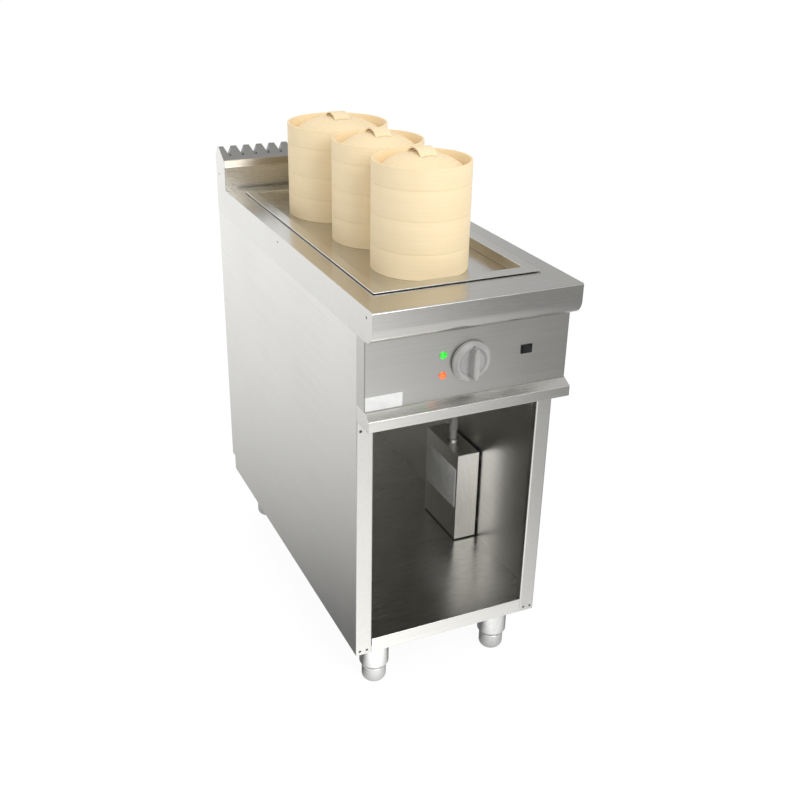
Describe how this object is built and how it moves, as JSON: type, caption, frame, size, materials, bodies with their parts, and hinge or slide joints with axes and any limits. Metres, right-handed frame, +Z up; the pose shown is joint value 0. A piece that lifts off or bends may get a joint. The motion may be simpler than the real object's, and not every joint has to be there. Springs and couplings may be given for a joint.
{
  "type": "basket steamer cabinet",
  "caption": "Free-standing stainless steamer cabinet with a heated water tank in the worktop, stacked round bamboo baskets, an open storage compartment and adjustable feet.",
  "frame": {"origin": "middle of the cabinet's footprint on the floor", "axes": "+X to the right seen from the front, +Y to the back, +Z up; the front faces -Y"},
  "size_m": [0.4, 0.9, 1.052],
  "materials": {
    "stainless": "brushed",
    "box_steel": "satin",
    "foot_steel": "polished",
    "element_tube": "satin",
    "screw_steel": "satin",
    "knob_grey": "satin",
    "black_plastic": "matte",
    "conduit_grey": "satin",
    "seal": "matte",
    "green_lens": "gloss",
    "orange_lens": "gloss",
    "bamboo": "matte"
  },
  "bodies": {
    "cabinet": {"side_panel_left": "stainless", "side_panel_right": "stainless", "rear_panel": "stainless", "base_shelf": "stainless", "base_channels": "stainless", "compartment_ceiling": "stainless", "worktop": "stainless", "control_panel": "stainless", "front_lip": "stainless", "flue_upstand": "stainless", "flue_grille": "stainless", "flue_end_caps": "stainless", "recess_tray": "stainless", "steam_tank": "stainless", "tank_gasket": "seal", "heating_elements": "element_tube", "element_plate": "stainless", "thermostat": "black_plastic", "lamp_housings": "black_plastic", "green_lamp": "green_lens", "orange_lamp": "orange_lens", "switch_housing": "black_plastic", "junction_box": "box_steel", "junction_box_cover": "box_steel", "box_standoffs": "stainless", "conduit": "conduit_grey", "conduit_fittings": "conduit_grey", "cable_gland": "black_plastic", "drain_pipe": "stainless", "water_inlet": "stainless", "foot_sockets": "foot_steel", "side_screws": "screw_steel", "post_screws": "screw_steel"},
    "knob": {"control_knob": "knob_grey", "thermostat_shaft": "screw_steel"},
    "rocker": {"switch_rocker": "black_plastic"},
    "deck": {"steam_deck": "stainless"},
    "foot_front_left": {"foot_front_left": "foot_steel"},
    "foot_front_right": {"foot_front_right": "foot_steel"},
    "foot_rear_left": {"foot_rear_left": "foot_steel"},
    "foot_rear_right": {"foot_rear_right": "foot_steel"},
    "front_tier_lower": {"front_tier_lower": "bamboo"},
    "front_tier_middle": {"front_tier_middle": "bamboo"},
    "front_tier_upper": {"front_tier_upper": "bamboo"},
    "front_lid": {"front_lid": "bamboo", "front_handle": "bamboo"},
    "middle_tier_lower": {"middle_tier_lower": "bamboo"},
    "middle_tier_middle": {"middle_tier_middle": "bamboo"},
    "middle_tier_upper": {"middle_tier_upper": "bamboo"},
    "middle_lid": {"middle_lid": "bamboo", "middle_handle": "bamboo"},
    "rear_tier_lower": {"rear_tier_lower": "bamboo"},
    "rear_tier_middle": {"rear_tier_middle": "bamboo"},
    "rear_tier_upper": {"rear_tier_upper": "bamboo"},
    "rear_lid": {"rear_lid": "bamboo", "rear_handle": "bamboo"}
  },
  "joints": [
    {"name": "knob_turn", "type": "hinge", "parent": "cabinet", "child": "knob", "pos_m": [0, -0.4195, 0.725], "axis": [0, 1, 0], "range_deg": [0, 270]},
    {"name": "rocker_tip", "type": "hinge", "parent": "cabinet", "child": "rocker", "pos_m": [0.113, -0.4164, 0.729], "axis": [0, 0, 1], "range_deg": [0, 14]},
    {"name": "deck_lift", "type": "slide", "parent": "cabinet", "child": "deck", "axis": [0, 0, 1], "range_m": [0, 0.12]},
    {"name": "foot_front_left_level", "type": "slide", "parent": "cabinet", "child": "foot_front_left", "axis": [0, 0, -1], "range_m": [0, 0.03]},
    {"name": "foot_front_right_level", "type": "slide", "parent": "cabinet", "child": "foot_front_right", "axis": [0, 0, -1], "range_m": [0, 0.03]},
    {"name": "foot_rear_left_level", "type": "slide", "parent": "cabinet", "child": "foot_rear_left", "axis": [0, 0, -1], "range_m": [0, 0.03]},
    {"name": "foot_rear_right_level", "type": "slide", "parent": "cabinet", "child": "foot_rear_right", "axis": [0, 0, -1], "range_m": [0, 0.03]},
    {"name": "front_tier_lower_lift", "type": "slide", "parent": "deck", "child": "front_tier_lower", "axis": [0, 0, 1], "range_m": [0, 0.1]},
    {"name": "front_tier_middle_lift", "type": "slide", "parent": "front_tier_lower", "child": "front_tier_middle", "axis": [0, 0, 1], "range_m": [0, 0.1]},
    {"name": "front_tier_upper_lift", "type": "slide", "parent": "front_tier_middle", "child": "front_tier_upper", "axis": [0, 0, 1], "range_m": [0, 0.1]},
    {"name": "front_lid_lift", "type": "slide", "parent": "front_tier_upper", "child": "front_lid", "axis": [0, 0, 1], "range_m": [0, 0.1]},
    {"name": "middle_tier_lower_lift", "type": "slide", "parent": "deck", "child": "middle_tier_lower", "axis": [0, 0, 1], "range_m": [0, 0.1]},
    {"name": "middle_tier_middle_lift", "type": "slide", "parent": "middle_tier_lower", "child": "middle_tier_middle", "axis": [0, 0, 1], "range_m": [0, 0.1]},
    {"name": "middle_tier_upper_lift", "type": "slide", "parent": "middle_tier_middle", "child": "middle_tier_upper", "axis": [0, 0, 1], "range_m": [0, 0.1]},
    {"name": "middle_lid_lift", "type": "slide", "parent": "middle_tier_upper", "child": "middle_lid", "axis": [0, 0, 1], "range_m": [0, 0.1]},
    {"name": "rear_tier_lower_lift", "type": "slide", "parent": "deck", "child": "rear_tier_lower", "axis": [0, 0, 1], "range_m": [0, 0.1]},
    {"name": "rear_tier_middle_lift", "type": "slide", "parent": "rear_tier_lower", "child": "rear_tier_middle", "axis": [0, 0, 1], "range_m": [0, 0.1]},
    {"name": "rear_tier_upper_lift", "type": "slide", "parent": "rear_tier_middle", "child": "rear_tier_upper", "axis": [0, 0, 1], "range_m": [0, 0.1]},
    {"name": "rear_lid_lift", "type": "slide", "parent": "rear_tier_upper", "child": "rear_lid", "axis": [0, 0, 1], "range_m": [0, 0.1]}
  ]
}
